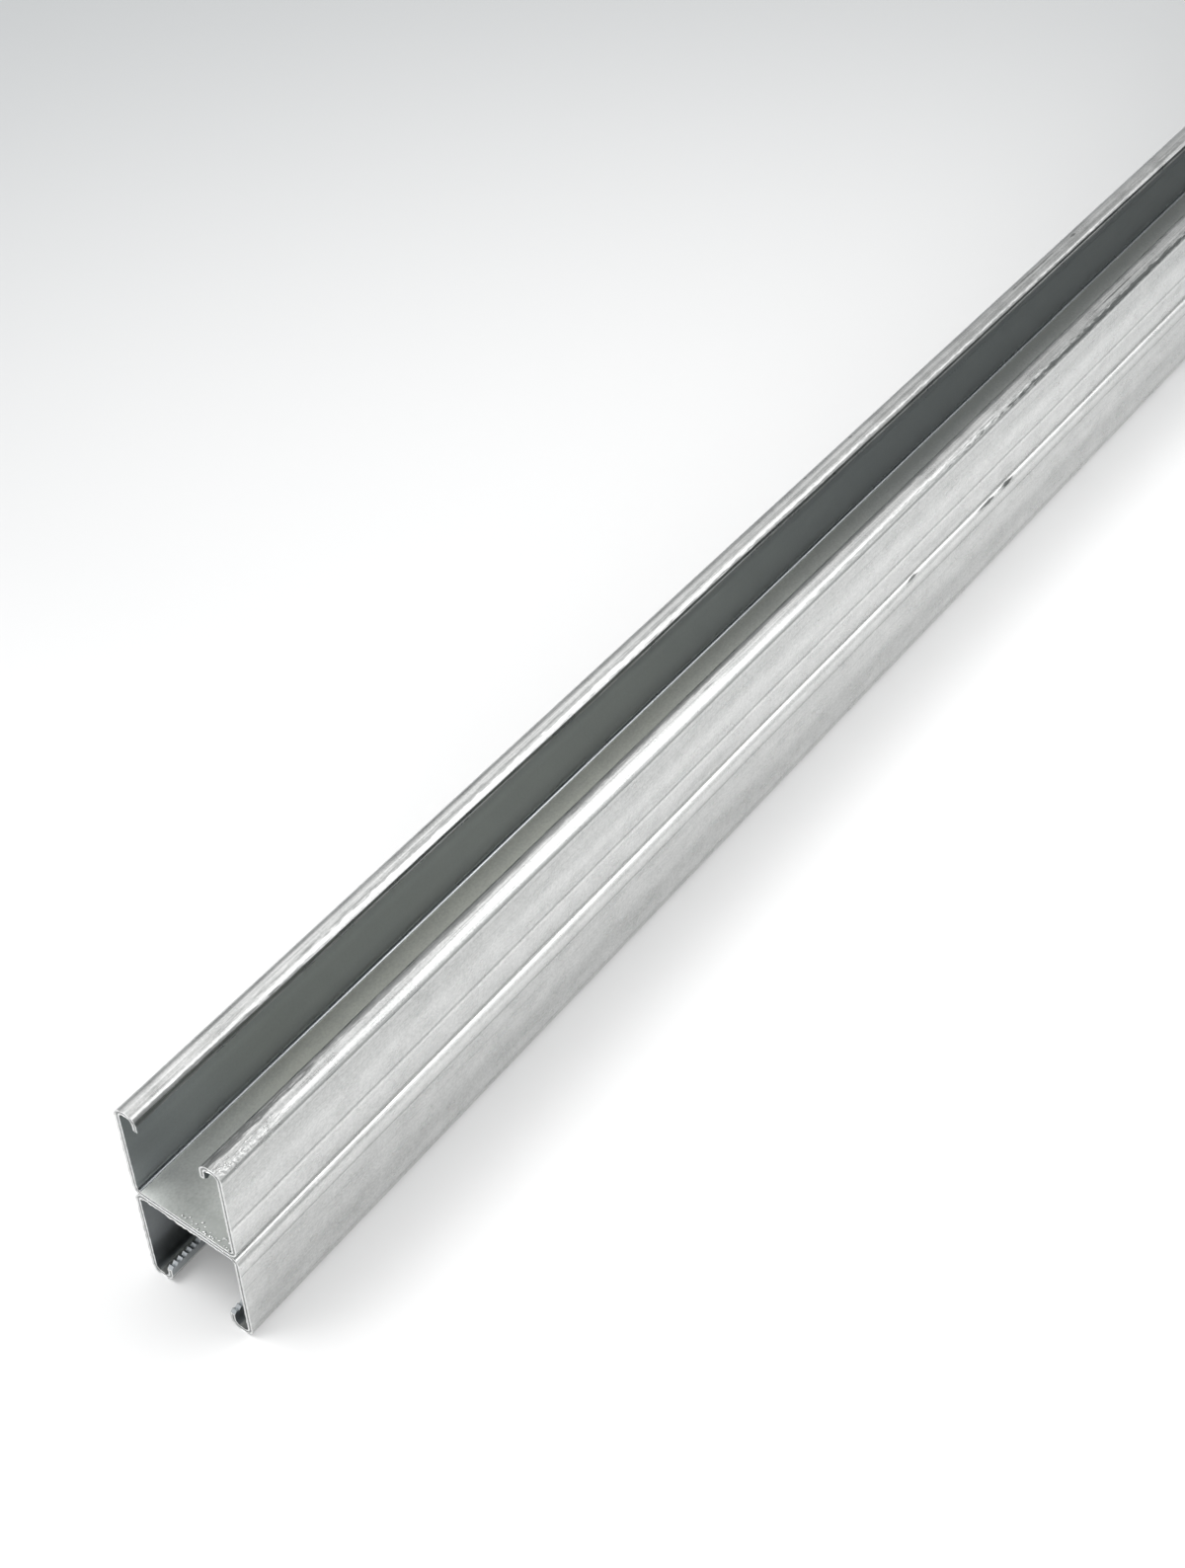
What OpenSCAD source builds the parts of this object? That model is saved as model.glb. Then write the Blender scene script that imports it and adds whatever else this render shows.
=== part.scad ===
// Back-to-back strut channel.
// Two identical C channels are rolled from flat galvanised sheet. They stand
// web against web, so one slot opens upward and the other opens downward. Each
// flange ends in a lip that turns over the top and back into the channel, and
// the free edge of every lip carries a row of teeth that bite into a channel nut.
// Width runs along X, length along Y and height along Z. The floor is Z = 0.

/* [Section] */
// Outside width of each channel, across its two flanges
channel_w = 41.3; // [39:0.1:60]
// Outside height of each channel, from the back of its web to its lips
channel_h = 41.3; // [20:0.1:62]
// Thickness of the rolled sheet
sheet_t = 1.8; // [1:0.1:2.4]
// Inside radius of every bend
bend_r = 1.8; // [0.5:0.1:2.4]

/* [Lips] */
// Clear width of the slot between the two lips
slot_w = 24.2; // [16:0.1:26]
// Depth of a lip, from its outer face down to the tips of its teeth
lip_depth = 7.2; // [6:0.1:12]

/* [Teeth] */
// Distance from one tooth to the next along the edge of a lip
tooth_pitch = 2; // [1.5:0.1:4]
// Height of a tooth, from root to tip
tooth_h = 1; // [0.4:0.1:1.6]

/* [Length] */
// Length of the stock
stock_l = 1000; // [200:50:1200]

/* [Hidden] */
// Fineness of the round bends
$fn = 48;
// Plain strip of sheet between the last bend of a lip and the roots of its teeth
tooth_band = 1;
// Outside radius of every bend
bend_out = bend_r + sheet_t;
// Half the width of a channel
half_w = channel_w / 2;
// Half the width of the slot
half_slot = slot_w / 2;
// Height of the tooth tips and of the tooth band above the back of the web
tip_z = channel_h - lip_depth;
root_z = tip_z + tooth_h;
band_z = root_z + tooth_band;
// Whole number of teeth along the stock, and the pitch that fills it exactly
tooth_n = round(stock_l / tooth_pitch);
pitch = stock_l / tooth_n;
// The two webs touch at this height
web_plane = channel_h;
zinc_grey = [0.72, 0.74, 0.75];
shade_grey = [0.64, 0.66, 0.67];

// One quarter of a bend about a centre, in the quadrant the two signs name
module bend_quarter(at, sx, sz) {
  translate(at)
    intersection() {
      difference() {
        circle(r = bend_out);
        circle(r = bend_r);
      }
      translate([min(sx, 0) * bend_out, min(sz, 0) * bend_out])
        square([bend_out, bend_out]);
    }
}

// Right half of the rolled section, from the middle of the web to the band
// that carries the teeth
module half_section() {
  // web
  square([half_w - bend_out, sheet_t]);
  bend_quarter([half_w - bend_out, bend_out], 1, -1);
  // flange
  translate([half_w - sheet_t, bend_out])
    square([sheet_t, channel_h - bend_out * 2]);
  bend_quarter([half_w - bend_out, channel_h - bend_out], 1, 1);
  // lip, over the top and back down into the channel
  translate([half_slot + bend_out, channel_h - sheet_t])
    square([half_w - half_slot - bend_out * 2, sheet_t]);
  bend_quarter([half_slot + bend_out, channel_h - bend_out], -1, 1);
  translate([half_slot, band_z])
    square([sheet_t, channel_h - bend_out - band_z]);
}

// Whole rolled section of one channel, web down
module section() {
  half_section();
  mirror([1, 0]) half_section();
}

// Outline of the toothed strip along one lip: plain above, V teeth below, with
// a root at each end of the stock
comb_points = concat(
  [[0, band_z], [0, root_z]],
  [for (i = [0 : tooth_n - 1]) each [[(i + 0.5) * pitch, tip_z], [(i + 1) * pitch, root_z]]],
  [[stock_l, band_z]]
);

// Toothed strip that finishes the right-hand lip
module toothed_strip() {
  translate([half_slot, -stock_l / 2, 0])
    rotate([90, 0, 90])
      linear_extrude(height = sheet_t)
        polygon(comb_points);
}

// One channel with its web on Z = 0 and its slot upward
module channel() {
  translate([0, stock_l / 2, 0])
    rotate([90, 0, 0])
      linear_extrude(height = stock_l)
        section();
  toothed_strip();
  mirror([1, 0, 0]) toothed_strip();
}

module upper_channel() {
  color(zinc_grey)
    translate([0, 0, web_plane])
      channel();
}

module lower_channel() {
  color(shade_grey)
    translate([0, 0, web_plane])
      mirror([0, 0, 1]) channel();
}

upper_channel();
lower_channel();
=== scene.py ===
# %% [markdown]
# # A back-to-back strut channel in hot-dip galvanised steel
#
# Two lipped channels are rolled from strip, welded web to web and dipped in
# zinc. The imported frame brings both with their real section, teeth included.
# This script gives them their zinc, the marks that rolling and sawing left, some
# painted light and shade, a floor, a camera and soft studio light.

# %% Load the frame
import math
import random

import bmesh
import bpy
from mathutils import Matrix, Vector, noise


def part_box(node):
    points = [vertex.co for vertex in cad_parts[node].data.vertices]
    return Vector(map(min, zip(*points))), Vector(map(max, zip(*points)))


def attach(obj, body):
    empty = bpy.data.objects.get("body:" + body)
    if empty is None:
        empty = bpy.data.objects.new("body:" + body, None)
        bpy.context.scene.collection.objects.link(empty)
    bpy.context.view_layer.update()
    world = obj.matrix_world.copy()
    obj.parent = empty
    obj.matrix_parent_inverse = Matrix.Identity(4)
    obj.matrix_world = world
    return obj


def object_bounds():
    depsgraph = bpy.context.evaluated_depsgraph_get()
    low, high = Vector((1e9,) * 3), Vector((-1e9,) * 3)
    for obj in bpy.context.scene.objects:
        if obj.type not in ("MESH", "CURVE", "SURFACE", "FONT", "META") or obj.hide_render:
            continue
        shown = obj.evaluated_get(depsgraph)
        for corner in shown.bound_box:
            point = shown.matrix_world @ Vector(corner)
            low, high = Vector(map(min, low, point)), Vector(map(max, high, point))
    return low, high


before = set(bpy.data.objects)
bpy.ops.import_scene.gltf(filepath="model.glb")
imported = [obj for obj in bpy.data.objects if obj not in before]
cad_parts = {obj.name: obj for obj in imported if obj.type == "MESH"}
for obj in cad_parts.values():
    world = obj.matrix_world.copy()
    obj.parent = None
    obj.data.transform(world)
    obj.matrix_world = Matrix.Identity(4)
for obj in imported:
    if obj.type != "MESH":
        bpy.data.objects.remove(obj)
cad_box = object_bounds()
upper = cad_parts["upper_channel"]
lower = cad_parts["lower_channel"]
low, high = (Vector(corner) for corner in cad_box)
print("stock, mm:", [round((high[i] - low[i]) * 1000, 1) for i in range(3)])

# %% [markdown]
# ## Measures taken from the frame
#
# Everything below is placed from a few values: the two cut ends, the plane where
# the webs touch and the top of the upper lips. They could be typed in, but values
# read from the frame stay right if the section is ever changed. Only the sheet
# and the slot don't show in the frame's boxes, so those two are repeated here.

# %% Places on the stock
MM = 0.001
near_end, far_end = low.y, high.y
top = high.z
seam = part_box("upper_channel")[0][2]
half_width = high.x
sheet = 1.8 * MM
half_slot = 12.1 * MM
lip_height = top - seam
print("height of the lips over the seam, mm:", round(lip_height / MM, 2))

# %% [markdown]
# ## The camera
#
# The stock is seen from above one end, at a steep three-quarter angle. A camera
# can be turned by three angles, but it is easier to say where it stands and
# where it looks. It aims at a point over the web and is then turned a little
# about its own line of sight, because a hand-held frame is never quite level.

# %% Camera
eye = Vector((0.3283, near_end - 0.2355, 0.6104))
aim = Vector((-0.0118, near_end + 0.2155, seam))
roll = math.radians(-0.74)

camera_data = bpy.data.cameras.new("camera")
camera_data.sensor_width = 36
camera_data.lens = 53.2
camera = bpy.data.objects.new("camera", camera_data)
facing = (aim - eye).to_track_quat("-Z", "Y").to_matrix().to_4x4()
camera.matrix_world = Matrix.Translation(eye) @ facing @ Matrix.Rotation(roll, 4, "Z")
bpy.context.scene.collection.objects.link(camera)
bpy.context.scene.camera = camera
bpy.context.scene.view_settings.view_transform = "Standard"
print("camera distance, m:", round((aim - eye).length, 3))

# %% [markdown]
# ## Colours and nodes
#
# A colour picker shows sRGB hex values, but a shader works in linear light, so
# one function turns the one into the other. A second function adds a node: its
# inputs may be plain values or the outputs of earlier nodes, and it hands back
# the output that the next node needs. Inputs go by name or by number. In a Mix
# node, 0 is the factor, 2 and 3 are its two values and 6 and 7 its two colours.

# %% Helpers for materials
def linear(hex_colour):
    """The linear colour, with alpha 1, for an sRGB hex value."""
    parts = [int(hex_colour[i:i + 2], 16) / 255 for i in (1, 3, 5)]
    return [c / 12.92 if c <= 0.04045 else ((c + 0.055) / 1.055) ** 2.4 for c in parts] + [1.0]


def add_node(tree, kind, inputs=None, out=0, **settings):
    """Adds a shader node, makes its settings, sets or links its inputs and returns one output."""
    node = tree.nodes.new("ShaderNode" + kind)
    for name, value in settings.items():
        setattr(node, name, value)
    for socket, value in (inputs or {}).items():
        if isinstance(value, bpy.types.NodeSocket):
            tree.links.new(value, node.inputs[socket])
        else:
            node.inputs[socket].default_value = value
    return node.outputs[out] if node.outputs else node


def empty_material(name):
    """A material without nodes, and its tree."""
    material = bpy.data.materials.new(name)
    material.use_nodes = True
    material.node_tree.nodes.clear()
    return material, material.node_tree


# %% [markdown]
# ## The floor
#
# The stock lies on plain, diffuse white paper. A studio sweep curves up behind
# the object, but a flat disc so wide that its rim is never seen looks much the
# same and needs no bend. A pool of light is painted on the paper: its colour
# greys away from the stock until it comes close to the grey of the wall, which
# the bends of the metal need: without something darker at the height of the
# horizon, bright metal looks like grey paint.
#
# A weak glow that only the camera and mirror-like rays can see lifts the paper
# to white, so that the steel gets no extra light from it and the shadow stays.
# The glow dies away on the left behind the near end: a painted shade, which
# darkens the paper there beyond the soft shade the lamps give it.

# %% White paper
# The paper's colour holds a painted pool of light: white around the stock, greying to a dim grey further
# out.
pool_centre = (0.22, near_end + 0.2, 0.0)
pool_radius, pool_rim = 0.24, 1.1
paper_white, painted_dim_grey = "#e4e4e4", "#b8babb"

white_paper, tree = empty_material("white_paper")
place = add_node(tree, "TexCoord", out="Object")
from_pool = add_node(tree, "VectorMath", {0: place, 1: pool_centre}, out="Value", operation="DISTANCE")
outside_painted_pool = add_node(tree, "MapRange", {"Value": from_pool, "From Min": pool_radius, "From Max": pool_rim},
                       interpolation_type="SMOOTHSTEP")
paper_with_painted_pool = add_node(tree, "Mix", {0: outside_painted_pool, 6: linear(paper_white), 7: linear(painted_dim_grey)},
                        out=2, data_type="RGBA")
paper = add_node(tree, "BsdfDiffuse", {"Color": paper_with_painted_pool})
print("the paper greys from", pool_radius, "m to", pool_rim, "m")

# %% Shade of the paper
# Where the glow is weaker, on the left behind the near end, the paper carries a painted shade.
full_glow, least_glow = 0.2, 0.03
shade_ramps = (("X", 0.09, -0.11), ("Y", near_end - 0.05, near_end + 0.25))

shade = 1.0
for axis, start, end in shade_ramps:
    along_axis = add_node(tree, "SeparateXYZ", {0: place}, out=axis)
    ramp = add_node(tree, "MapRange", {"Value": along_axis, "From Min": start, "From Max": end},
                    interpolation_type="SMOOTHSTEP")
    shade = add_node(tree, "Math", {0: shade, 1: ramp}, operation="MULTIPLY")
glow_here = add_node(tree, "Math", {0: shade, 1: least_glow - full_glow, 2: full_glow},
                     operation="MULTIPLY_ADD")
print("the paper glows by", full_glow, "in the light and", least_glow, "in the shade")

# %% Glow of the paper
seen_in_metal = add_node(tree, "Math", {0: add_node(tree, "LightPath", out="Is Glossy Ray"),
                                        1: add_node(tree, "LightPath", out="Is Transmission Ray")},
                         operation="MAXIMUM")
seen = add_node(tree, "Math", {0: add_node(tree, "LightPath", out="Is Camera Ray"), 1: seen_in_metal},
                operation="MAXIMUM")
strength = add_node(tree, "Math", {0: seen, 1: glow_here}, operation="MULTIPLY")
glow = add_node(tree, "Emission", {"Color": paper_with_painted_pool, "Strength": strength})
add_node(tree, "OutputMaterial", {"Surface": add_node(tree, "AddShader", {0: paper, 1: glow})})
print("nodes of the paper:", len(tree.nodes))

# %% Floor
floor_radius = 12

floor_mesh = bmesh.new()
bmesh.ops.create_circle(floor_mesh, cap_ends=True, segments=96, radius=floor_radius)
floor_data = bpy.data.meshes.new("floor")
floor_mesh.to_mesh(floor_data)
floor_mesh.free()
floor_data.materials.append(white_paper)
floor = bpy.data.objects.new("floor", floor_data)
bpy.context.scene.collection.objects.link(floor)
print("floor, m across:", 2 * floor_radius)

# %% [markdown]
# ## The room
#
# Metal shows what is around it, so the set matters more than the strength of
# the lamps. Walls and panels could be built, but satin metal blurs them, so a
# colour that only depends on the direction is enough: pale overhead, and greyer
# down to the horizon, where it comes close to the grey of the far paper.

# %% Room
horizon_grey, ceiling_white = "#bcbebf", "#f4f4f4"
grey_up_to, white_from = 0.08, 0.92
room_strength = 0.77

world = bpy.data.worlds.new("studio")
bpy.context.scene.world = world
world.use_nodes = True
tree = world.node_tree
tree.nodes.clear()
skyward = add_node(tree, "SeparateXYZ", {0: add_node(tree, "TexCoord", out="Generated")}, out="Z")
climb = add_node(tree, "MapRange", {"Value": skyward, "From Min": grey_up_to, "From Max": white_from},
                 interpolation_type="SMOOTHSTEP")
room = add_node(tree, "Mix", {0: climb, 6: linear(horizon_grey), 7: linear(ceiling_white)},
                out=2, data_type="RGBA")
sky = add_node(tree, "Background", {"Color": room, "Strength": room_strength})
add_node(tree, "OutputWorld", {"Surface": sky})
print("the room runs from", horizon_grey, "at the horizon to", ceiling_white, "overhead")

# %% [markdown]
# ## Lamps
#
# Each lamp is a soft box that faces the stock. A ready-made panorama could light
# it too, but single lamps can be moved one by one until each line of light falls
# on the right bend. The front lamp hangs high over the near end and makes most
# of the light on the floor, helped by a low one in front of it that reaches into
# the open ends. The back panel stands low behind the right side: the bends
# mirror it as one long white line each. A weak lamp on the left does the same
# for the left bends, and a small strip close over the near half widens the line
# on its lips.

# %% Lamps
def softbox(name, azimuth, elevation, distance, size, watts):
    """An area lamp in a direction, counted from +X towards +Y, that faces the stock."""
    a, e = math.radians(azimuth), math.radians(elevation)
    middle = Vector((0, near_end + 0.2, seam))
    spot = middle + distance * Vector((math.cos(a) * math.cos(e), math.sin(a) * math.cos(e), math.sin(e)))
    lamp = bpy.data.lights.new(name, "AREA")
    lamp.shape = "RECTANGLE"
    lamp.size, lamp.size_y = size
    lamp.energy = watts
    box = bpy.data.objects.new(name, lamp)
    turn = (middle - spot).to_track_quat("-Z", "Y").to_matrix().to_4x4()
    box.matrix_world = Matrix.Translation(spot) @ turn
    bpy.context.scene.collection.objects.link(box)


softbox("front_lamp", azimuth=-140, elevation=68, distance=2.0, size=(0.85, 0.85), watts=19)
softbox("low_front_lamp", azimuth=-121, elevation=24, distance=1.8, size=(1.2, 0.7), watts=4.5)
softbox("back_panel", azimuth=43, elevation=34, distance=1.5, size=(1.2, 1.55), watts=8.5)
softbox("left_lamp", azimuth=132, elevation=50, distance=2.0, size=(1.2, 0.85), watts=2.1)
softbox("lip_strip", azimuth=76, elevation=62, distance=0.58, size=(0.36, 0.16), watts=0.34)

# %% [markdown]
# ## Hot-dip zinc on rolled steel
#
# Zinc sets as a satin metal coat, brighter than steel and never quite a mirror.
# It is a metal through and through for the shader, so all of its look comes
# from three things: the tone of the metal, its roughness and a very low relief.
# A picture of zinc could be wrapped around the stock, but it would blur close up
# and repeat along a metre of it. Noise does neither and needs no unwrapping.
#
# The rollers drag fine lines along the length, which stay as streaks. Over them
# lie soft clouds of bloom and a fine grit. Every pattern is drawn from Object
# coordinates, which on these pieces are plain metres, so a grain of 0.9 mm is
# really 0.9 mm wide. Noise runs about one grain per unit, so its scale is one
# over the grain's size, across the stock and along it. Real grit is a tenth of a
# millimetre wide, too fine to show, so it is drawn as coarse as it needs to be.

# %% Grain
def grain(tree, place, across_mm, along_mm, detail, shift):
    """Cloudy noise from 0 to 1 whose grains are so wide across the stock and so long along it."""
    scale = (1 / (across_mm * MM), 1 / (along_mm * MM), 1 / (across_mm * MM))
    laid = add_node(tree, "Mapping", {"Vector": place, "Scale": scale, "Location": (shift, shift, shift)})
    return add_node(tree, "TexNoise", {"Vector": laid, "Scale": 1.0, "Detail": detail})


# Each grain: mm across the stock, mm along it, detail, and a shift of its own.
zinc_patterns = {"grit": (0.7, 0.9, 3.0, 0), "clots": (0.7, 1.1, 3.0, 0), "bloom": (7, 12, 5.0, 9),
                 "lip_streaks": (0.5, 50, 3.0, 2), "drawn_lines": (0.9, 240, 4.0, 0),
                 "broad_bands": (6, 900, 0.6, 5), "saw_marks": (1.2, 0.1, 2.0, 0)}


def zinc_grains(tree, place, shift):
    """All the patterns of one coat, each as a value from 0 to 1."""
    return {name: grain(tree, place, across, along, detail, shift + own_shift)
            for name, (across, along, detail, own_shift) in zinc_patterns.items()}


# %% [markdown]
# ### Roller tracks and painted light
#
# Where one roller of the mill ended and the next began, a shallow crease runs
# along the flange from end to end. Each track also shifts the colour: dark ones
# are painted shade in the creases, along the bends and over the upper part of
# the flange, and bright ones are painted highlights, most of all at the seam. A
# wave texture would lay such lines evenly, but each track has its own place,
# width and strength. So a track is the places whose height over the web comes
# close to the track's own, and it fades out sideways. Real tracks wander a
# little, so the height is first shifted by a very long noise.

# %% Roller tracks
track_sway = 0.6 * MM


def tracks_with_painted_light(tree, place, over_web, tracks_and_light_bands, shift):
    """Sums the tracks, each (mm over the web, half width in mm, strength), at every point."""
    wander = add_node(tree, "MapRange", {"Value": grain(tree, place, 400, 130, 1.0, shift),
                                         "To Min": -track_sway, "To Max": track_sway})
    height = add_node(tree, "Math", {0: over_web, 1: wander}, operation="ADD")
    total = 0.0
    for level, half_wide, strength in tracks_and_light_bands:
        gap = add_node(tree, "Math", {0: height, 1: level * MM}, operation="SUBTRACT")
        gap = add_node(tree, "Math", {0: gap}, operation="ABSOLUTE")
        close = add_node(tree, "MapRange", {"Value": gap, "From Max": half_wide * MM,
                                            "To Min": strength, "To Max": 0.0},
                         interpolation_type="SMOOTHSTEP")
        total = add_node(tree, "Math", {0: total, 1: close}, operation="ADD")
    return total


# %% [markdown]
# ### Patches
#
# Bars rub against each other in the bundle, and each rub leaves a dark, ragged
# dash on a bend or a lip. Other dark dashes on the lips are painted shade: they
# narrow the white line of a bend and dim the right lip's bend far from the cut.
# In other places the zinc froze in a rough lump. Such marks could be painted on
# an unwrapped mesh, but here a few numbers place each one: a patch is a long
# ellipsoid around one point, whose rim a fine noise frays.

# %% Patches
fray_reach = 0.9                 # as a part of the patch's half size
full_within, gone_beyond = 0.4, 1.2


def patches(tree, place, spots, shift):
    """The strongest patch at every point. Each is (x, distance from the near end, height over the
    floor, half length, half width, strength), all but the last in mm."""
    fray = add_node(tree, "MapRange", {"Value": grain(tree, place, 0.6, 4.5, 3.0, shift),
                                       "To Min": -fray_reach, "To Max": fray_reach})
    total = 0.0
    for spot_x, spot_y, spot_z, half_long, half_wide, strength in spots:
        centre = (spot_x * MM, near_end + spot_y * MM, spot_z * MM)
        offset = add_node(tree, "VectorMath", {0: place, 1: centre}, operation="SUBTRACT")
        reach = (1 / (half_wide * MM), 1 / (half_long * MM), 1 / (half_wide * MM))
        ratio = add_node(tree, "VectorMath", {0: offset, 1: reach}, operation="MULTIPLY")
        radius = add_node(tree, "VectorMath", {0: ratio}, out="Value", operation="LENGTH")
        frayed = add_node(tree, "Math", {0: radius, 1: fray}, operation="ADD")
        patch = add_node(tree, "MapRange", {"Value": frayed, "From Min": full_within,
                                            "From Max": gone_beyond, "To Min": strength, "To Max": 0.0},
                         interpolation_type="SMOOTHSTEP")
        total = add_node(tree, "Math", {0: total, 1: patch}, operation="MAXIMUM")
    return total


# %% [markdown]
# ### Inside and outside
#
# No roller polished the faces that look into a channel, so there the coat is
# more matt, and its colour is painted darker, a painted shade of the channel's
# inside. The faces could be sorted by hand into materials of their own, but the
# mesh is left as it came, so a few limits on the coordinates sort them. A point
# is inside when it lies within the flanges and either below the last bends of
# the lips or in the pocket behind them. Two parts of the inside look different
# again: the web, painted lighter than the flanges for the light that falls on it
# through the slot, and the bends beside it, which the rollers that formed them
# have burnished.

# %% Inside of a channel
slack = 0.1 * MM
lip_bends_from = lip_height - 2 * sheet


def inside_channel(tree, side, over_web):
    """1 on the faces that look into the channel, from web to lip, and 0 elsewhere."""
    within = add_node(tree, "Math", {0: side, 1: half_width - sheet + slack}, operation="LESS_THAN")
    below_bends = add_node(tree, "Math", {0: over_web, 1: lip_bends_from}, operation="LESS_THAN")
    below_lips = add_node(tree, "Math", {0: over_web, 1: lip_height - sheet - slack}, operation="LESS_THAN")
    behind_tips = add_node(tree, "Math", {0: side, 1: half_slot + sheet}, operation="GREATER_THAN")
    pocket = add_node(tree, "Math", {0: below_lips, 1: behind_tips}, operation="MULTIPLY")
    open_part = add_node(tree, "Math", {0: below_bends, 1: pocket}, operation="MAXIMUM")
    return add_node(tree, "Math", {0: within, 1: open_part}, operation="MULTIPLY")


# %% Web and bends of the inside
def inner_web_and_bends(tree, over_web, inside):
    """Two masks: the web's inner face, and the two bends beside it."""
    on_web = add_node(tree, "Math", {0: over_web, 1: sheet + slack}, operation="LESS_THAN")
    web_inside = add_node(tree, "Math", {0: on_web, 1: inside}, operation="MULTIPLY")
    by_web = add_node(tree, "Math", {0: over_web, 1: 2 * sheet}, operation="LESS_THAN")
    both = add_node(tree, "Math", {0: by_web, 1: inside}, operation="MULTIPLY")
    bend_inside = add_node(tree, "Math", {0: both, 1: web_inside}, operation="SUBTRACT")
    return web_inside, bend_inside


# %% [markdown]
# ### The cut
#
# The saw left both ends bare, with a duller band halfway through the sheet. Its
# rims are painted bright, a painted highlight along the edges of the cut. The
# rims could be found from the edges of the mesh, but the shape of the section is
# known, so a sum is surer. Seen from the end, the middle of the sheet runs around
# a square with round corners, so the distance from that line is the usual one
# for a rounded square: straight to a side, or past a corner in a circle. Only
# the lips leave the square: they turn down into the slot, on a circle again and
# then straight.

# %% Distance from the middle of the sheet
bend_radius = 1.5 * sheet        # of the middle of the sheet, in every bend


def off_mid_sheet(tree, side, over_web):
    """How far a point of the section lies from the line halfway through the sheet."""
    straight = half_width - sheet / 2 - bend_radius
    rise = add_node(tree, "Math", {0: over_web, 1: lip_height / 2}, operation="SUBTRACT")
    rise = add_node(tree, "Math", {0: rise}, operation="ABSOLUTE")
    past_side = add_node(tree, "Math", {0: side, 1: straight}, operation="SUBTRACT")
    past_top = add_node(tree, "Math", {0: rise, 1: straight}, operation="SUBTRACT")
    nearest = add_node(tree, "Math", {0: past_side, 1: past_top}, operation="MAXIMUM")
    straight_part = add_node(tree, "Math", {0: nearest, 1: 0.0}, operation="MINIMUM")
    past = add_node(tree, "CombineXYZ", {"X": past_side, "Y": past_top})
    corner = add_node(tree, "VectorMath", {0: past, 1: (0, 0, 0)}, operation="MAXIMUM")
    reach = add_node(tree, "VectorMath", {0: corner}, out="Value", operation="LENGTH")
    distance = add_node(tree, "Math", {0: reach, 1: straight_part}, operation="ADD")
    distance = add_node(tree, "Math", {0: distance, 1: bend_radius}, operation="SUBTRACT")
    off_square = add_node(tree, "Math", {0: distance}, operation="ABSOLUTE")
    return lips_instead(tree, off_square, side, over_web)


def lips_instead(tree, off_square, side, over_web):
    """Swaps the distance from the square for that from the lip where the lip turns down."""
    bend_middle = half_slot + 2 * sheet
    inward = add_node(tree, "Math", {0: bend_middle, 1: side}, operation="SUBTRACT")
    above = add_node(tree, "Math", {0: over_web, 1: lip_bends_from}, operation="SUBTRACT")
    above = add_node(tree, "Math", {0: above, 1: 0.0}, operation="MAXIMUM")
    from_bend = add_node(tree, "CombineXYZ", {"X": inward, "Y": above})
    reach = add_node(tree, "VectorMath", {0: from_bend}, out="Value", operation="LENGTH")
    off_lip = add_node(tree, "Math", {0: reach, 1: bend_radius}, operation="SUBTRACT")
    off_lip = add_node(tree, "Math", {0: off_lip}, operation="ABSOLUTE")
    turned = add_node(tree, "Math", {0: inward, 1: 0.0}, operation="GREATER_THAN")
    far_from_web = add_node(tree, "Math", {0: over_web, 1: lip_height / 2}, operation="GREATER_THAN")
    on_lip = add_node(tree, "Math", {0: turned, 1: far_from_web}, operation="MULTIPLY")
    return add_node(tree, "Mix", {0: on_lip, 2: off_square, 3: off_lip})


# %% Sawn steel
def sawn_steel(tree, side, over_web, saw_marks):
    """The colour of the cut: dull in the middle of the sheet, with a painted highlight at its rims."""
    off_middle = off_mid_sheet(tree, side, over_web)
    # Towards the rims the cut is painted up to white: a painted highlight of its edges.
    painted_rim_highlight = add_node(tree, "MapRange", {"Value": off_middle, "From Min": 0.1 * MM, "From Max": 0.6 * MM,
                                       "To Min": -0.3, "To Max": 0.7})
    painted_rim_highlight = add_node(tree, "Math", {0: saw_marks, 1: 0.6, 2: painted_rim_highlight}, operation="MULTIPLY_ADD")
    return add_node(tree, "Mix", {0: painted_rim_highlight, 6: linear("#747776"), 7: linear("#ffffff")},
                    out=2, data_type="RGBA")


# %% [markdown]
# ### Tone and colour
#
# Zinc is not one grey: it is dull where it froze coarse and bright where a
# roller pressed on it. Each pattern could drive a colour of its own, but then
# the colours fight. Here all that changes the tone adds up to one number, which
# picks the colour between a dull and a bright zinc. Each pattern has its share
# in it, and the sum is centred so that an average point comes out in the middle.
# The lips were polished most, and carry the strongest streaks.

# %% Tone
tone_shares = {"bloom": 0.4, "broad_bands": 0.35, "drawn_lines": 0.1, "grit": 0.55}
average_tone = 0.47
streak_tone = 0.2
lip_skin = 1.2 * MM


def zinc_tone(tree, grains, over_web, creases_and_painted_light):
    """Where the zinc lies between dull, 0, and bright, 1."""
    tone = average_tone - sum(tone_shares.values()) / 2
    for name, share in tone_shares.items():
        tone = add_node(tree, "Math", {0: grains[name], 1: share, 2: tone}, operation="MULTIPLY_ADD")
    on_lips = add_node(tree, "Math", {0: over_web, 1: lip_height - lip_skin}, operation="GREATER_THAN")
    streaky = add_node(tree, "MapRange", {"Value": grains["lip_streaks"], "From Min": 0.3, "From Max": 0.7,
                                          "To Min": -streak_tone, "To Max": streak_tone})
    tone = add_node(tree, "Math", {0: on_lips, 1: streaky, 2: tone}, operation="MULTIPLY_ADD")
    # The tracks add painted shade and painted highlights to the tone.
    return add_node(tree, "Math", {0: tone, 1: creases_and_painted_light}, operation="ADD")


# %% [markdown]
# Inside, the tone of the web is painted to follow the light that falls in
# through the slot: lighter along its middle, at the cut lighter at its left edge
# and darker from its middle to the right, and further in darker, a painted
# shade, until it is as dark as the flanges. A spot of light could be painted for
# each, but three ramps are enough: one across the web, one across its first 30
# mm, and one along it.

# %% Painted light and shade of the inside
web_edge = 17.5 * MM


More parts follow.
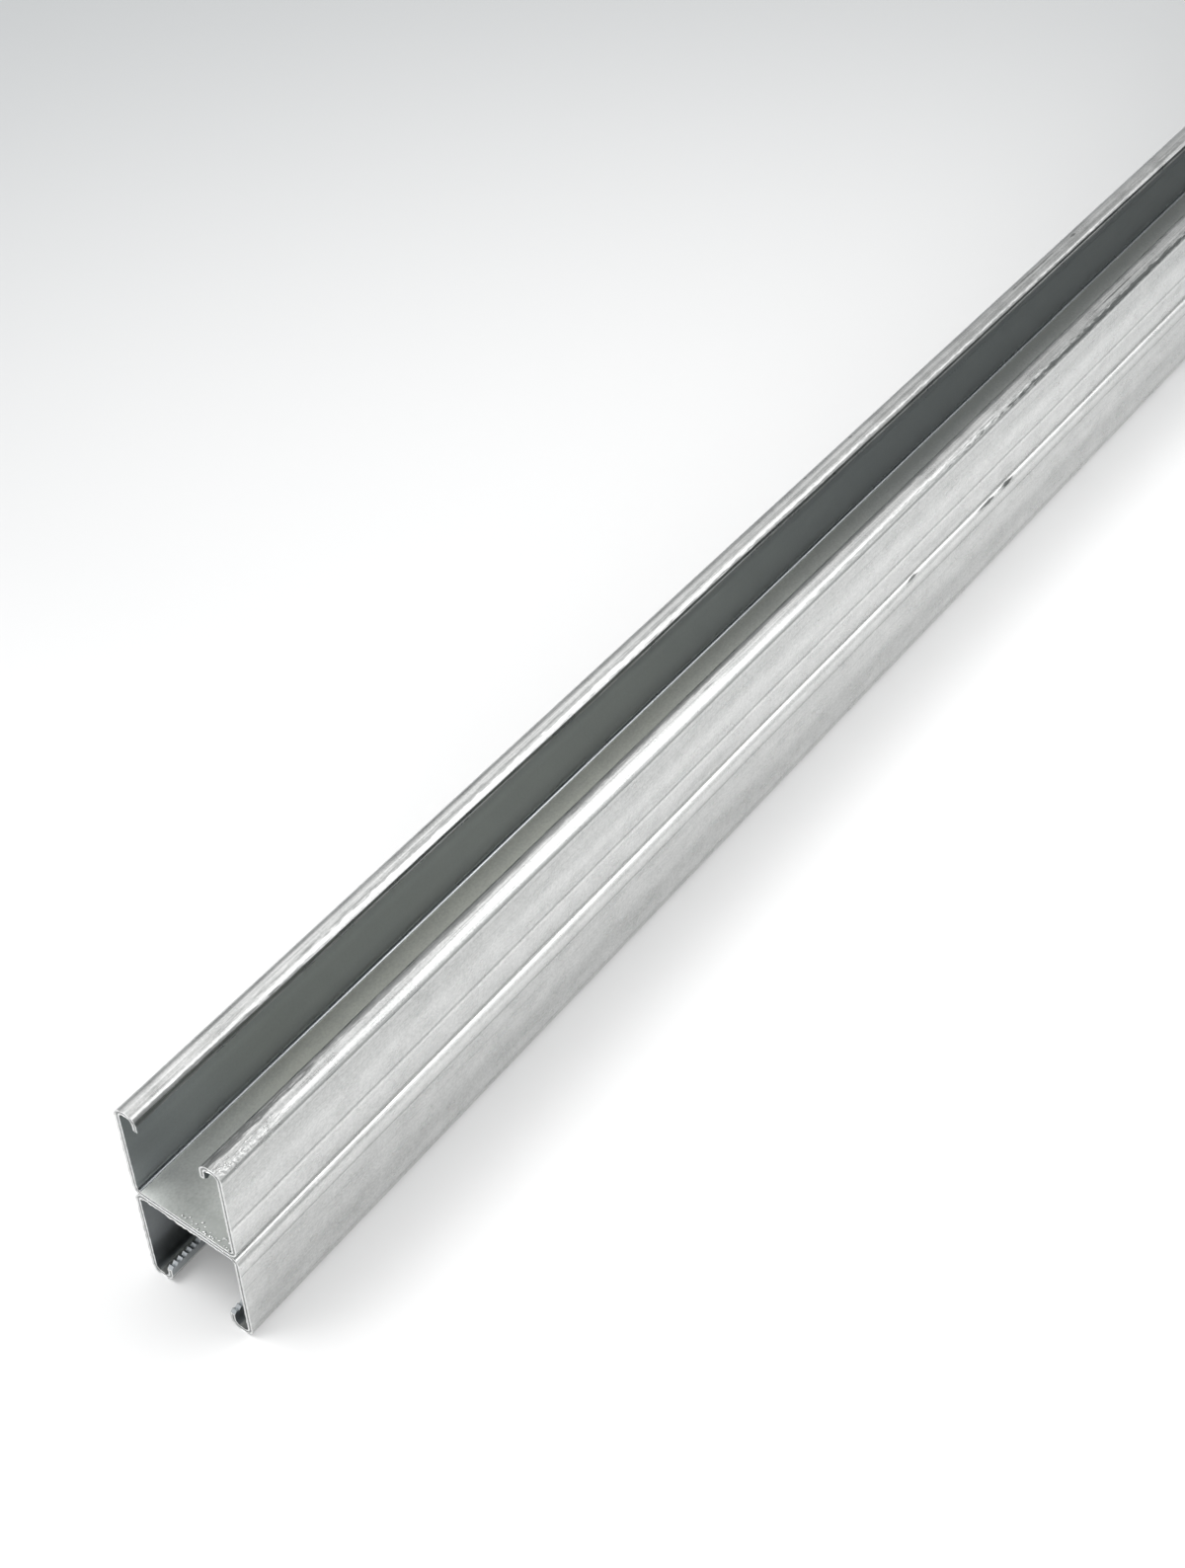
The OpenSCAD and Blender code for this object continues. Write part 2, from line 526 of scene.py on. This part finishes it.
def inner_light_and_shade(tree, tone, across, side, behind_cut, web_inside):
    """The tone inside, with painted light on the middle of the web, less of it at the cut, and painted shade
    further in.
    """
    painted_slot_light = add_node(tree, "MapRange", {"Value": side, "From Min": web_edge, "From Max": 9 * MM,
                                           "To Min": 0.1, "To Max": 0.6})
    painted_light_at_cut = add_node(tree, "MapRange", {"Value": across, "From Min": -web_edge, "From Max": -4 * MM,
                                          "To Min": 0.5, "To Max": -0.45})
    at_cut = add_node(tree, "MapRange", {"Value": behind_cut, "From Min": 6 * MM, "From Max": 30 * MM,
                                         "To Min": 1.0, "To Max": 0.0})
    painted_inner_light = add_node(tree, "Mix", {0: at_cut, 2: painted_slot_light, 3: painted_light_at_cut})
    painted_shade_far_in = add_node(tree, "MapRange", {"Value": behind_cut, "From Min": 180 * MM, "From Max": 420 * MM,
                                        "To Max": -0.66})
    painted_inner_light = add_node(tree, "Math", {0: painted_inner_light, 1: painted_shade_far_in}, operation="ADD")
    return add_node(tree, "Math", {0: painted_inner_light, 1: web_inside, 2: tone}, operation="MULTIPLY_ADD")


# %% [markdown]
# The rinse that keeps new zinc from staining stood on the web and dried there as
# a faint yellowish film. It could be a second, see-through coat, but a film this
# thin only tints what lies under it, so its colour is multiplied with the zinc's.

# %% Film on the web
def web_film(tree, behind_cut):
    """How strong the yellowish film is: none at the cut, and none far in."""
    starts = add_node(tree, "MapRange", {"Value": behind_cut, "From Min": 10 * MM, "From Max": 60 * MM})
    ends = add_node(tree, "MapRange", {"Value": behind_cut, "From Min": 250 * MM, "From Max": 420 * MM,
                                       "To Min": 1.0, "To Max": 0.0})
    return add_node(tree, "Math", {0: starts, 1: ends}, operation="MULTIPLY")


# %% Colour
def zinc_colour(tree, tone, inside_tone_with_painted_light, inside, web_inside, film, rubs_and_painted_shade):
    """Bright outside; inside, painted shade on the flanges and painted light on the web; dark on the dashes
    of rubs and painted shade.
    """
    bright = add_node(tree, "Mix", {0: tone, 6: linear("#9fa1a0"), 7: linear("#fbfbfa")},
                      out=2, data_type="RGBA")
    # Inside, the flanges are painted darker for shade and the web lighter for the light from the slot.
    dull_and_shaded = add_node(tree, "Mix", {0: inside_tone_with_painted_light, 6: linear("#919597"), 7: linear("#afb3b6")},
                    out=2, data_type="RGBA")
    on_web = add_node(tree, "Mix", {0: inside_tone_with_painted_light, 6: linear("#b6b9b6"), 7: linear("#f1f4f1")},
                      out=2, data_type="RGBA")
    on_web = add_node(tree, "Mix", {0: film, 6: on_web, 7: linear("#fffef9")}, out=2, data_type="RGBA",
                      blend_type="MULTIPLY")
    within = add_node(tree, "Mix", {0: web_inside, 6: dull_and_shaded, 7: on_web}, out=2, data_type="RGBA")
    coat = add_node(tree, "Mix", {0: inside, 6: bright, 7: within}, out=2, data_type="RGBA")
    # The dark dashes are partly rubs and knocks and partly painted shade on the bends of the lips.
    return add_node(tree, "Mix", {0: rubs_and_painted_shade, 6: coat, 7: linear("#4a4d4c")}, out=2, data_type="RGBA")


# %% [markdown]
# ### Roughness and relief
#
# Bloom makes the satin finish a little more matt here and there. The inside and
# the dark dashes are rougher still, and the burnished bends inside smoother.
# The relief is a few hundredths of a millimetre high, apart from the creases of
# the rollers and the lumps. It could be real displacement, but that needs
# millions of faces, so one bump node tilts the light instead.

# %% Roughness
smoothest, roughest = 0.26, 0.34


def zinc_roughness(tree, bloom, inside, web_inside, bend_inside, rubs_and_painted_shade):
    """Satin outside, more matt inside and on the dark dashes, and burnished in the inner bends."""
    matt = add_node(tree, "MapRange", {"Value": bloom, "From Min": 0.36, "From Max": 0.64,
                                       "To Min": smoothest, "To Max": roughest})
    for where, change in ((inside, 0.1), (web_inside, 0.32), (bend_inside, -0.14), (rubs_and_painted_shade, 0.25)):
        matt = add_node(tree, "Math", {0: where, 1: change, 2: matt}, operation="MULTIPLY_ADD")
    return matt


# %% Relief
grain_heights = {"drawn_lines": 0.006, "bloom": 0.01, "grit": 0.008}     # mm
lump_height, crease_depth = 0.5, 0.35                                    # mm


def zinc_relief(tree, grains, creases_and_painted_light, lumpy):
    """The bumps of the coat, as a normal."""
    clotted = add_node(tree, "Math", {0: lumpy, 1: grains["clots"]}, operation="MULTIPLY")
    layers = [(grains[name], high_mm) for name, high_mm in grain_heights.items()]
    layers += [(clotted, lump_height), (creases_and_painted_light, crease_depth)]
    height = 0.0
    for layer, high_mm in layers:
        height = add_node(tree, "Math", {0: layer, 1: high_mm, 2: height}, operation="MULTIPLY_ADD")
    return add_node(tree, "Bump", {"Height": height, "Strength": 1.0, "Distance": MM})


# %% [markdown]
# ### The whole coat
#
# The two channels could share one material, but they get one recipe with their
# own tracks, patches and shift of the noise, so that the pattern doesn't run on
# from one into the other. The height over the web is counted up in the upper
# channel and down in the lower. Within a hair of an end, the zinc gives way to
# the sawn steel.

# %% Galvanised coat
def galvanised_coat(name, direction, tracks_and_light_bands, rubs_and_shade_spots, lumps, shift):
    """Zinc for a channel that opens up (direction 1) or down (direction -1)."""
    material, tree = empty_material(name)
    place = add_node(tree, "TexCoord", out="Object")
    across, along, height = (add_node(tree, "SeparateXYZ", {0: place}, out=axis) for axis in "XYZ")
    side = add_node(tree, "Math", {0: across}, operation="ABSOLUTE")
    behind_cut = add_node(tree, "Math", {0: along, 1: near_end}, operation="SUBTRACT")
    over_web = add_node(tree, "Math", {0: height, 1: direction, 2: -direction * seam},
                        operation="MULTIPLY_ADD")
    grains = zinc_grains(tree, place, shift)
    inside = inside_channel(tree, side, over_web)
    outside = add_node(tree, "Math", {0: 1.0, 1: inside}, operation="SUBTRACT")
    web_inside, bend_inside = inner_web_and_bends(tree, over_web, inside)
    # The tracks: creases in the relief, and painted shade and painted highlights in the colour.
    creases_and_painted_light = add_node(tree, "Math", {0: tracks_with_painted_light(tree, place, over_web, tracks_and_light_bands, shift), 1: outside},
                      operation="MULTIPLY")
    # Dark dashes: rubs and knocks, and painted shade on the lips' bends.
    rubs_and_painted_shade = patches(tree, place, rubs_and_shade_spots, shift)
    lumpy = patches(tree, place, lumps, shift + 1)

    tone = zinc_tone(tree, grains, over_web, creases_and_painted_light)
    inside_tone_with_painted_light = inner_light_and_shade(tree, tone, across, side, behind_cut, web_inside)
    film = web_film(tree, behind_cut)
    coat = zinc_colour(tree, tone, inside_tone_with_painted_light, inside, web_inside, film, rubs_and_painted_shade)
    colour = sawn_ends(tree, coat, sawn_steel(tree, side, over_web, grains["saw_marks"]), along)
    surface = add_node(tree, "BsdfPrincipled", {
        "Base Color": colour, "Metallic": 1.0,
        "Roughness": zinc_roughness(tree, grains["bloom"], inside, web_inside, bend_inside, rubs_and_painted_shade),
        "Normal": zinc_relief(tree, grains, creases_and_painted_light, lumpy)})
    add_node(tree, "OutputMaterial", {"Surface": surface})
    return material


def sawn_ends(tree, coat, steel, along):
    """The colour of the coat, with that of the steel on the two cut faces."""
    from_middle = add_node(tree, "Math", {0: along}, operation="ABSOLUTE")
    hair = 0.05 * MM
    sawn = add_node(tree, "Math", {0: from_middle, 1: far_end - hair}, operation="GREATER_THAN")
    return add_node(tree, "Mix", {0: sawn, 6: coat, 7: steel}, out=2, data_type="RGBA")


# %% [markdown]
# ### Where the marks lie
#
# A track with a negative strength is sunk and painted dark, a painted shade,
# and one with a positive strength is a little raised and painted bright, a
# painted highlight. Of the long dark dashes on the lips, some are where the bars
# lay on each other, and the others are painted shade, which narrows the white
# line of a bend and dims the right lip's bend far from the cut. The short ones
# are knocks, and the lumps sit on the right lip's bend just behind the cut. A
# list is the plainest way to keep them: one line can be moved or taken out
# without a look at the nodes.

# %% Marks of the upper channel
# Dark tracks are painted shade in the creases, along the bends and over the upper flange; bright ones are
# painted highlights.
upper_tracks_and_light_bands = [(2.2, 2.4, -0.4), (14.0, 1.0, 0.15), (15.6, 1.0, -0.34), (31.2, 0.7, -0.07),
                (32.4, 9.5, -0.24), (36.2, 0.7, -0.08), (38.8, 0.9, -0.6)]
# Dashes on the lips: the short ones are knocks; of the long ones some are rubs and the others painted shade
# on the bends.
left_lip_rubs_and_shade = [(-15.2, 330, 82.6, 420, 0.8, 0.32), (-14.8, 175, 82.5, 150, 0.9, 0.5),
                 (-14.2, 540, 82.3, 190, 0.9, 0.4), (-12.9, 15, 81.3, 70, 0.7, 0.6),
                 (-12.9, 420, 81.3, 210, 0.7, 0.6), (-17.1, 530, 82.6, 26, 0.45, 0.7),
                 (-17.0, 561, 82.6, 2.5, 0.8, 0.7), (-18.3, 357, 82.3, 1.5, 0.6, 0.6),
                 (-18.3, 388, 82.3, 1.2, 0.5, 0.6)]
right_lip_rubs_and_shade = [(17.1, 535, 82.6, 22, 0.4, 0.7), (17.0, 242, 82.6, 4, 0.35, 0.35),
                  (20.0, 530, 81.1, 135, 1.4, 0.9), (19.8, 365, 81.4, 75, 0.7, 0.4),
                  (19.2, 560, 82.0, 190, 0.9, 0.55), (15.2, 0, 82.5, 60, 1.5, 0.8),
                  (15.1, 115, 82.5, 115, 1.1, 0.5), (14.3, 300, 82.3, 440, 1.2, 0.5)]
flange_smudges = [(20.65, 240, 49, 22, 2.5, 0.13), (20.65, 390, 49, 27, 2.5, 0.13),
                  (20.65, 445, 49, 8, 2.5, 0.15)]
lip_lumps = [(19.7, 4, 81.3, 23, 2.2, 1.0)]
upper.data.materials[0] = galvanised_coat("galvanised_steel_upper", 1, upper_tracks_and_light_bands,
                                          left_lip_rubs_and_shade + right_lip_rubs_and_shade + flange_smudges, lip_lumps, 3)

# %% Marks of the lower channel
# At the seam the tracks paint shade and a highlight on the bends.
lower_tracks_and_light_bands = [(0.3, 0.7, -0.5), (1.4, 0.8, 0.3), (2.7, 1.5, -0.24), (5.0, 3.2, 0.14),
                (8.4, 0.8, -0.28), (15.4, 0.7, -0.07), (36.5, 0.6, -0.1), (38.2, 0.6, 0.1),
                (39.0, 5.0, -0.12)]
seam_scuffs = [(20.3, 0, 39.2, 75, 1.0, 0.3), (19.9, 377, 39.8, 4, 0.7, 0.8),
               (20.1, 433, 39.5, 7, 0.8, 0.8), (20.0, 449, 39.5, 6, 1.1, 0.9)]
lower.data.materials[0] = galvanised_coat("galvanised_steel_lower", -1, lower_tracks_and_light_bands, seam_scuffs, [], 17)
for channel in (upper, lower):
    coat = channel.data.materials[0]
    print(coat.name, "has", len(coat.node_tree.nodes), "nodes")

# %% [markdown]
# ## The burr of the saw
#
# A cold saw leaves a thin torn ridge around the sheet where it breaks through.
# It catches the light as a fine bright line around the cut. A bright stripe in
# the material would not stand off the end, and a wire drawn around the section
# would have to be kept in step with it. So a copy of the channel's mesh is
# merged, and everything but the outline of its cut is thrown away: the edges
# that only one face of the cut uses.

# %% Outline of a cut
def cut_outline(channel, end):
    """A mesh with only the outline of a channel's cut at one end, in short steps."""
    hair, step = 0.001 * MM, 0.7 * MM
    mesh = bmesh.new()
    mesh.from_mesh(channel.data)
    bmesh.ops.remove_doubles(mesh, verts=mesh.verts, dist=hair)
    on_cut = {v for v in mesh.verts if abs(v.co.y - end) < hair}
    outline = {edge for edge in mesh.edges if on_cut.issuperset(edge.verts)
               and len([f for f in edge.link_faces if on_cut.issuperset(f.verts)]) == 1}
    bmesh.ops.delete(mesh, geom=[edge for edge in mesh.edges if edge not in outline], context="EDGES")
    bmesh.ops.delete(mesh, geom=[v for v in mesh.verts if not v.link_edges], context="VERTS")
    for edge in list(mesh.edges):
        cuts = int(edge.calc_length() / step)
        if cuts:
            bmesh.ops.subdivide_edges(mesh, edges=[edge], cuts=cuts)
    return mesh


# %% [markdown]
# The outline is extruded off the end by a height that noise picks for each
# point, and solidify gives the fin its thickness.

# %% Saw burr
fin_thickness = 0.17 * MM
lowest_burr, highest_burr = 0.06 * MM, 0.32 * MM
tears_per_metre = 700            # about one tear every 1.4 mm
tear_lift, tear_gain = 0.25, 2   # a higher lift makes more of the ridge stand up


def saw_burr(name, channel, end):
    """A torn ridge around the cut of a channel at one end."""
    mesh = cut_outline(channel, end)
    fin = bmesh.ops.extrude_edge_only(mesh, edges=list(mesh.edges))["geom"]
    outwards = 1 if end > 0 else -1
    for v in (item for item in fin if isinstance(item, bmesh.types.BMVert)):
        torn = max(0.0, noise.noise(v.co * tears_per_metre) + tear_lift) ** 2
        v.co.y += outwards * (lowest_burr + (highest_burr - lowest_burr) * min(1.0, torn * tear_gain))
    bmesh.ops.recalc_face_normals(mesh, faces=mesh.faces)
    bmesh.ops.solidify(mesh, geom=mesh.faces, thickness=fin_thickness)
    bmesh.ops.recalc_face_normals(mesh, faces=mesh.faces)
    for face in mesh.faces:
        face.smooth = True
    data = bpy.data.meshes.new(name)
    mesh.to_mesh(data)
    mesh.free()
    piece = bpy.data.objects.new(name, data)
    bpy.context.scene.collection.objects.link(piece)
    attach(piece, "root")
    return piece


burrs = [saw_burr("upper_near_burr", upper, near_end), saw_burr("upper_far_burr", upper, far_end),
         saw_burr("lower_near_burr", lower, near_end), saw_burr("lower_far_burr", lower, far_end)]
for piece in burrs:
    print(piece.name, len(piece.data.polygons), "faces")

# %% [markdown]
# ## Crumbs along the cut
#
# On the near web, from its middle to its right side, the torn zinc has rolled up
# into small crumbs that sit within three millimetres of the edge. A particle
# system could scatter them, but a loop keeps each where it belongs. Each is a
# small sphere that is squashed, turned and sunk a little into the sheet, and
# they crowd towards the right. A fixed seed makes the same crumbs in each run.

# %% Zinc crumbs
crumb_count = 26
row_start, row_length, crowding, stray = -2, 19.5, 0.8, 0.3    # mm, mm, a power, mm
nearest_crumb, row_depth = 0.5, 2.4                            # mm behind the cut
smallest_crumb, largest_crumb = 0.2, 0.46                      # mm, as radii
wrinkle_depth, wrinkles_per_metre = 0.08 * MM, 2500
web_top = seam + sheet

random.seed(11)
crumbs = bmesh.new()
for i in range(crumb_count):
    step = (i / (crumb_count - 1)) ** crowding
    across = (row_start + row_length * step + random.uniform(-stray, stray)) * MM
    behind = (nearest_crumb + row_depth * random.random() ** 2) * MM
    size = random.uniform(smallest_crumb, largest_crumb) * MM
    squash = Matrix.Diagonal((random.uniform(0.9, 1.5), random.uniform(0.8, 1.2), 0.7, 1))
    spot = Matrix.Translation((across, near_end + behind, web_top + 0.25 * size))
    turn = Matrix.Rotation(random.uniform(0, math.pi), 4, "Z")
    bmesh.ops.create_icosphere(crumbs, subdivisions=2, radius=size, matrix=spot @ turn @ squash)
for face in crumbs.faces:
    face.smooth = True
for v in crumbs.verts:
    v.co += v.normal * noise.noise(v.co * wrinkles_per_metre) * wrinkle_depth
print("crumbs:", crumb_count)

# %% Crumb piece
crumb_data = bpy.data.meshes.new("zinc_crumbs")
crumbs.to_mesh(crumb_data)
crumbs.free()
crumb_piece = bpy.data.objects.new("zinc_crumbs", crumb_data)
bpy.context.scene.collection.objects.link(crumb_piece)
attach(crumb_piece, "root")
print("crumb faces:", len(crumb_data.polygons))

# %% [markdown]
# ## Torn zinc
#
# Where the saw tore the coat, fresh zinc shows. It is brighter than the aged
# coat around it and lies in fine crinkles of about 0.3 mm, which break its
# shine into sparks. The crinkles could be modelled, but one fine noise that
# drives both the colour and the relief gives the same sparks.

# %% Torn zinc
crinkle_mm, crinkle_depth = 0.3, 0.05 * MM

torn_zinc, tree = empty_material("torn_zinc")
place = add_node(tree, "TexCoord", out="Object")
crinkles = grain(tree, place, crinkle_mm, crinkle_mm, 3.0, 0)
colour = add_node(tree, "Mix", {0: crinkles, 6: linear("#c4c6c4"), 7: linear("#fafafa")},
                  out=2, data_type="RGBA")
normal = add_node(tree, "Bump", {"Height": crinkles, "Strength": 1.0, "Distance": crinkle_depth})
surface = add_node(tree, "BsdfPrincipled", {"Base Color": colour, "Metallic": 1.0, "Roughness": 0.3,
                                            "Normal": normal})
add_node(tree, "OutputMaterial", {"Surface": surface})
for piece in burrs + [crumb_piece]:
    piece.data.materials.append(torn_zinc)
print("pieces in torn zinc:", [piece.name for piece in burrs + [crumb_piece]])
